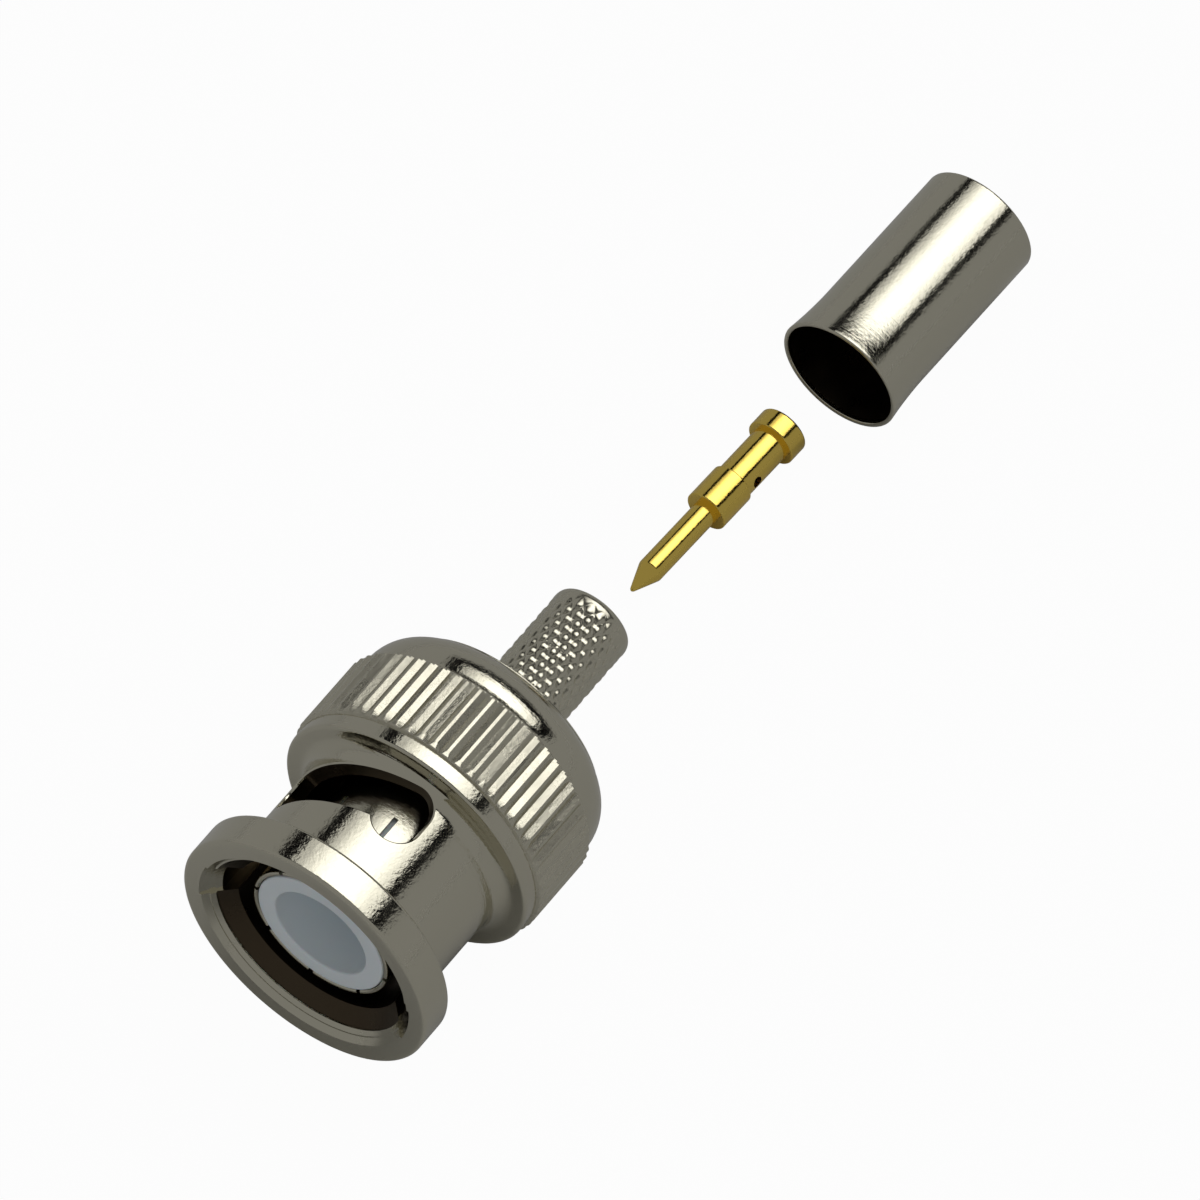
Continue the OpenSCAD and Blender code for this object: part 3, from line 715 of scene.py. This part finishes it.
class PLUG_OT_centre_contact(bpy.types.Operator):
    """Turns the gilt pin, with its snap collar, solder pot and inspection hole"""
    bl_idname = "bayonet_plug.centre_contact"
    bl_label = "Centre contact"

    def execute(self, context):
        pin = context.scene.plug_pin
        tip_r, shank_r, collar_r = pin.tip_d / 2, pin.shank_d / 2, pin.collar_d / 2
        pot_r, flange_r, bore_r = pin.pot_d / 2, pin.flange_d / 2, pin.bore_d / 2
        small, bore_end = 0.06 * MM, pin.end_x - pin.bore_len
        point = [(0.0, 0.0), (0.0, tip_r * 0.6), (0.03 * MM, tip_r * 0.9), (0.08 * MM, tip_r + 0.03 * MM)]
        shoulder = arc(pin.shank_x + 0.1 * MM, shank_r - 0.35 * MM, 0.35 * MM, 0.35 * MM, 112, 90, 3)
        outline = (point + shoulder
                   + [(pin.shank_x + 0.3 * MM, shank_r), (pin.collar_x, shank_r)]
                   + outer_edge(pin.collar_x, collar_r, small)
                   + outer_edge(pin.pot_x, collar_r, small, rear=True)
                   + [(pin.pot_x, pot_r), (pin.flange_x, pot_r)] + outer_edge(pin.flange_x, flange_r, small)
                   + outer_edge(pin.end_x, flange_r, 0.1 * MM, rear=True)
                   + [(pin.end_x, bore_r + small), (pin.end_x - small, bore_r), (bore_end, bore_r),
                      (bore_end - 0.3 * MM, 0.0)])
        made = piece("centre_contact_shell", lathe(outline, 96))
        drill = bmesh.new()
        bmesh.ops.create_cone(drill, cap_ends=True, segments=40, radius1=pin.sight_d / 2,
                              radius2=pin.sight_d / 2, depth=pin.pot_d)
        place = (Matrix.Translation((pin.sight_x, 0, 0)) @ Matrix.Rotation(pin.sight_turn, 4, "X")
                 @ Matrix.Translation((0, 0, pin.pot_d / 2)))
        carve(made, piece("drill", drill, place))
        lie = lying("centre_contact", pin.yaw, pin.end_x, tip_r, flange_r)
        made.data.transform(lie)
        gold = plated_metal("Gold plate over a turned pin", lie, context.scene.plug_finish.gilding,
                            0.12, 0.008 * MM)
        settle(made, "plug", gold, "centre_contact")
        return {"FINISHED"}


class PLUG_OT_ferrule(bpy.types.Operator):
    """Draws the thin crimp ferrule with its flared mouth"""
    bl_idname = "bayonet_plug.ferrule"
    bl_label = "Crimp ferrule"

    def execute(self, context):
        tube = context.scene.plug_ferrule
        bore_r, rim, runs = tube.bore_d / 2, 0.08 * MM, 16
        outer_r = bore_r + tube.wall
        flare = [(rim + (tube.flare_len - rim) * i / runs, tube.flare_rise * (1 - i / runs) ** 2)
                 for i in range(runs + 1)]
        mouth_r = outer_r + tube.flare_rise
        outline = (arc(rim, mouth_r - rim, rim, rim, 180, 100, 3)
                   + [(x, outer_r + rise) for x, rise in flare]
                   + outer_edge(tube.end_x, outer_r, rim, 3, rear=True)
                   + arc(tube.end_x - rim, bore_r + rim, rim, rim, 0, -90, 3)
                   + [(x, bore_r + rise) for x, rise in reversed(flare)]
                   + arc(rim, bore_r + tube.flare_rise + rim, rim, rim, 260, 180, 3))
        lie = lying("crimp_ferrule", tube.yaw, tube.end_x - rim, mouth_r - rim, outer_r)
        made = piece("ferrule_shell", lathe(outline, 160), lie)
        finish = context.scene.plug_finish
        settle(made, "plug",
               plated_metal("Nickel plate on a drawn tube", lie, finish.nickel, 0.13, 0.014 * MM),
               "crimp_ferrule")
        # Second material: a darker plate colour on the faces inside the tube, as painted shade
        made.data.materials.append(
            plated_metal("Nickel plate darkened as painted shade inside the tube", lie, finish.bore_shade, 0.3, 0.004 * MM))
        middle = lie.inverted()
        for face in made.data.polygons:
            spot, facing = middle @ face.center, middle.to_3x3() @ face.normal
            if facing.yz.dot(spot.yz) < 0 and spot.x > 0.2 * MM:
                face.material_index = 1
        return {"FINISHED"}


class PLUG_OT_inner_parts(bpy.types.Operator):
    """Finishes the gasket and the thrust washer, and copies the wave washers with a spring-steel finish"""
    bl_idname = "bayonet_plug.inner_parts"
    bl_label = "Seal and springs"

    def execute(self, context):
        finish = context.scene.plug_finish
        finishes = {
            "gasket": white_plastic("Silicone rubber, moulded", PLUG, finish.rubber),
            "thrust_washer": plated_metal("Nickel plate on a turned washer", PLUG, finish.nickel, 0.2,
                                          0.001 * MM)}
        for node, material in finishes.items():
            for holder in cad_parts[node].material_slots:
                holder.material = material
        steel = plated_metal("Spring steel strip, bright rolled", PLUG, finish.spring, 0.28, 0.0006 * MM)
        for node in ("wave_washer_front", "wave_washer_rear"):
            strip = bmesh.new()
            strip.from_mesh(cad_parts[node].data)
            made = piece(node + "_strip", strip)
            settle(made, "plug", steel, node)
            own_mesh(made)
        return {"FINISHED"}


# ---------------------------------------------------------------- studio

LAMP_SIZE = (0.7, 1.96)                                  # metres, across and along
LAMP_DISTANCE = 1.5
TOWARD_LAMP = Vector((0.463, -0.07, 0.883)).normalized()
CLOTH = 0.5                                              # width of the black border round the lamp
TOWARD_FILL = Vector((-0.93, -0.3, 0.2)).normalized()
FILL_DISTANCE = 1.2
AIM = Vector((-8.99, -3.47, 9.67)) * MM                  # camera's aim from the middle of the common box


def sheet(across, along):
    """A flat sheet about the origin, with its sides in metres."""
    mesh = bmesh.new()
    bmesh.ops.create_grid(mesh, x_segments=1, y_segments=1, size=0.5)
    bmesh.ops.scale(mesh, vec=(across, along, 1.0), verts=mesh.verts)
    return mesh


def white_floor():
    """Pale seamless paper: white to the eye with a faint shadow, mid grey in what the metal mirrors."""
    material, output = blank("Seamless paper, matt")
    path = add(material, "LightPath")
    pale = add(material, "BsdfDiffuse", inputs={"Color": linear("CFCFCF")})
    white = add(material, "Emission", inputs={"Color": (1, 1, 1, 1), "Strength": 1.0})
    seen = add(material, "Math", operation="MULTIPLY", inputs={1: 0.97}, links={0: (path, "Is Camera Ray")})
    mix = add(material, "MixShader", links={0: (seen, 0), 1: (pale, 0), 2: (white, 0)})
    material.node_tree.links.new(mix.outputs[0], output.inputs["Surface"])
    return material


def studio_room(level):
    """A plain grey room for light and mirroring, white behind the object."""
    world = bpy.data.worlds.new("Studio room")
    world.use_nodes = True
    world.node_tree.nodes.clear()
    out = add(world, "OutputWorld")
    path = add(world, "LightPath")
    room = add(world, "Background", inputs={"Color": (1, 1, 1, 1), "Strength": level})
    backdrop = add(world, "Background", inputs={"Color": (1, 1, 1, 1), "Strength": 1.0})
    mix = add(world, "MixShader", links={0: (path, "Is Camera Ray"), 1: (room, 0), 2: (backdrop, 0)})
    world.node_tree.links.new(mix.outputs[0], out.inputs["Surface"])
    return world


def lamp_cloth(place, level):
    """Lit cloth of the overhead lamp, brightest over its middle and dimmer towards both ends."""
    material, output = blank("Lit diffuser cloth")
    along = add(material, "SeparateXYZ", links={"Vector": (local(material, place), "Vector")})
    front = add(material, "MapRange", interpolation_type="SMOOTHSTEP",
                inputs={"From Min": 0.9, "From Max": 0.1, "To Min": 0.3 * level, "To Max": level},
                links={"Value": (along, "Y")})
    rear = add(material, "MapRange", interpolation_type="SMOOTHSTEP",
               inputs={"From Min": -0.9, "From Max": -0.3, "To Min": 0.6, "To Max": 1.0},
               links={"Value": (along, "Y")})
    both = add(material, "Math", operation="MULTIPLY", links={0: (front, "Result"), 1: (rear, "Result")})
    glow = add(material, "Emission", inputs={"Color": (1, 1, 1, 1)}, links={"Strength": (both, 0)})
    material.node_tree.links.new(glow.outputs[0], output.inputs["Surface"])
    return material


def black_cloth():
    """Black cloth round the lamp, which draws the dark lines along the highlights."""
    material, output = blank("Black cloth, matt")
    cloth = add(material, "BsdfDiffuse", inputs={"Color": (0.002, 0.002, 0.002, 1)})
    material.node_tree.links.new(cloth.outputs[0], output.inputs["Surface"])
    return material


class PLUG_OT_stage(bpy.types.Operator):
    """Sets up the pale floor, the soft overhead lamp with its dark surround, the room and the camera"""
    bl_idname = "bayonet_plug.stage"
    bl_label = "Studio"

    def execute(self, context):
        scene, studio = context.scene, context.scene.plug_studio
        scene.view_settings.view_transform = "Standard"
        middle = (Vector(CAD_BOX[0]) + Vector(CAD_BOX[1])) / 2
        aim = middle + AIM
        level = math.cos(studio.elevation)
        back = Vector((math.sin(studio.azimuth) * level, -math.cos(studio.azimuth) * level,
                       math.sin(studio.elevation)))
        camera_data = bpy.data.cameras.new("camera")
        camera_data.lens, camera_data.sensor_width = studio.lens, 36.0
        camera_data.clip_start, camera_data.clip_end = 0.05, 50.0
        camera = bpy.data.objects.new("camera", camera_data)
        camera.location = aim + back * studio.distance
        camera.rotation_euler = (-back).to_track_quat("-Z", "Y").to_euler()
        scene.collection.objects.link(camera)
        scene.camera = camera

        floor = piece("floor", sheet(12.0, 12.0))
        floor.data.materials.append(white_floor())
        scene.world = studio_room(studio.room)

        side = Vector((0, 1, 0)).cross(TOWARD_LAMP).normalized()
        place = Matrix((side, TOWARD_LAMP.cross(side).normalized(), TOWARD_LAMP)).transposed().to_4x4()
        place.translation = TOWARD_LAMP * LAMP_DISTANCE
        lamp = piece("lamp_face", sheet(*LAMP_SIZE), place)
        lamp.data.materials.append(lamp_cloth(place, studio.lamp))
        surround = sheet(LAMP_SIZE[0] + 2 * CLOTH, LAMP_SIZE[1] + 2 * CLOTH)
        bmesh.ops.inset_region(surround, faces=surround.faces[:], thickness=CLOTH, use_boundary=True,
                               use_even_offset=True)
        middle_face = min(surround.faces, key=lambda f: f.calc_center_median().length)
        bmesh.ops.delete(surround, geom=[middle_face], context="FACES")
        border = piece("lamp_surround", surround, place)
        border.data.materials.append(black_cloth())

        fill_data = bpy.data.lights.new("fill", "AREA")
        fill_data.size, fill_data.energy = 0.6, studio.fill
        fill = bpy.data.objects.new("fill", fill_data)
        fill.location = TOWARD_FILL * FILL_DISTANCE
        fill.rotation_euler = TOWARD_FILL.to_track_quat("Z", "Y").to_euler()
        fill.visible_glossy = False
        scene.collection.objects.link(fill)
        return {"FINISHED"}


class PLUG_PT_panel(bpy.types.Panel):
    """Lists the operators in the sidebar"""
    bl_idname = "PLUG_PT_panel"
    bl_label = "Bayonet Plug"
    bl_space_type = "VIEW_3D"
    bl_region_type = "UI"
    bl_category = "Bayonet Plug"

    def draw(self, context):
        for operator in OPERATORS:
            self.layout.operator(operator.bl_idname)


OPERATORS = (PLUG_OT_stage, PLUG_OT_coupling_nut, PLUG_OT_plug_body, PLUG_OT_outer_contact,
             PLUG_OT_insulator, PLUG_OT_centre_contact, PLUG_OT_ferrule, PLUG_OT_inner_parts)
CLASSES = tuple(GROUPS.values()) + OPERATORS + (PLUG_PT_panel,)


def register():
    for made in CLASSES:
        bpy.utils.register_class(made)
    for name, group in GROUPS.items():
        setattr(bpy.types.Scene, name, PointerProperty(type=group))


def unregister():
    for name in GROUPS:
        delattr(bpy.types.Scene, name)
    for made in reversed(CLASSES):
        bpy.utils.unregister_class(made)


def main():
    register()
    for operator in OPERATORS:
        group, name = operator.bl_idname.split(".")
        getattr(getattr(bpy.ops, group), name)()
    bpy.context.view_layer.update()


if __name__ == "__main__":
    main()
